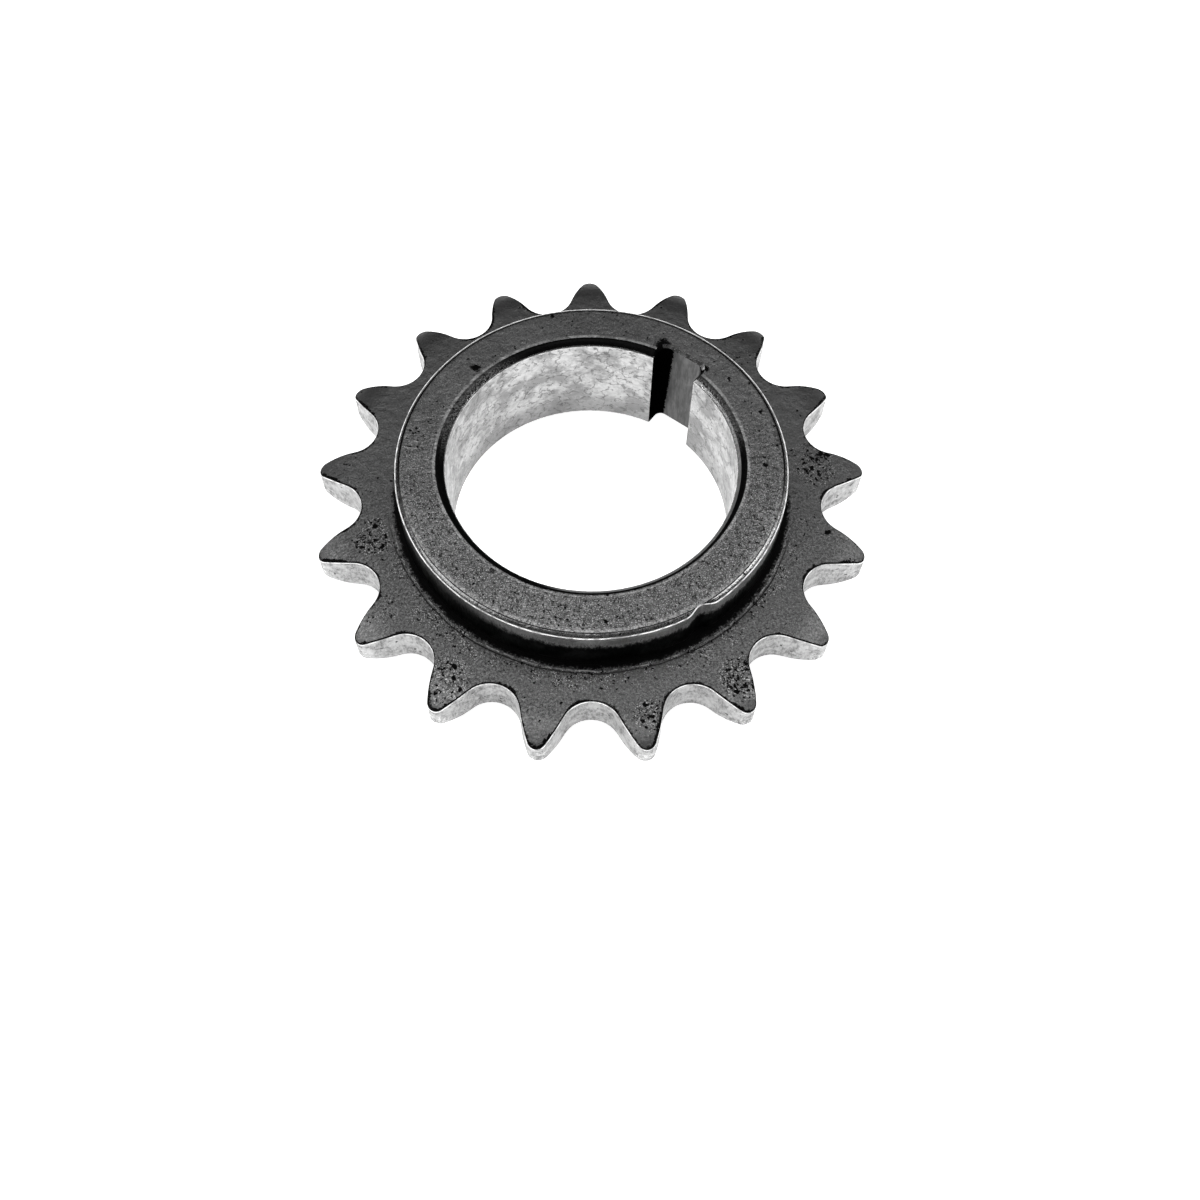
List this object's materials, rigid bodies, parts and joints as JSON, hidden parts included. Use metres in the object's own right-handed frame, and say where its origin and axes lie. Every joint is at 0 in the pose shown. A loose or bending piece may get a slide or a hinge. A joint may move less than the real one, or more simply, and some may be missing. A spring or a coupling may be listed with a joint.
{
  "type": "chain sprocket",
  "caption": "Timing chain sprocket: a toothed plate on a short hub, with a keyed shaft bore and a timing notch in the hub's rim.",
  "frame": {"origin": "on the bore's axis, in the rear hub face that the sprocket rests on", "axes": "+Z is the bore's axis, out of the taller hub; +Y runs along the centre line of one tooth"},
  "size_m": [0.0554, 0.0553, 0.0121],
  "materials": {
    "sintered_steel": "pressed and sintered steel, steam-darkened, with the bore and tooth sides worked bright"
  },
  "bodies": {
    "root": {"sprocket": "sintered_steel"}
  },
  "joints": []
}
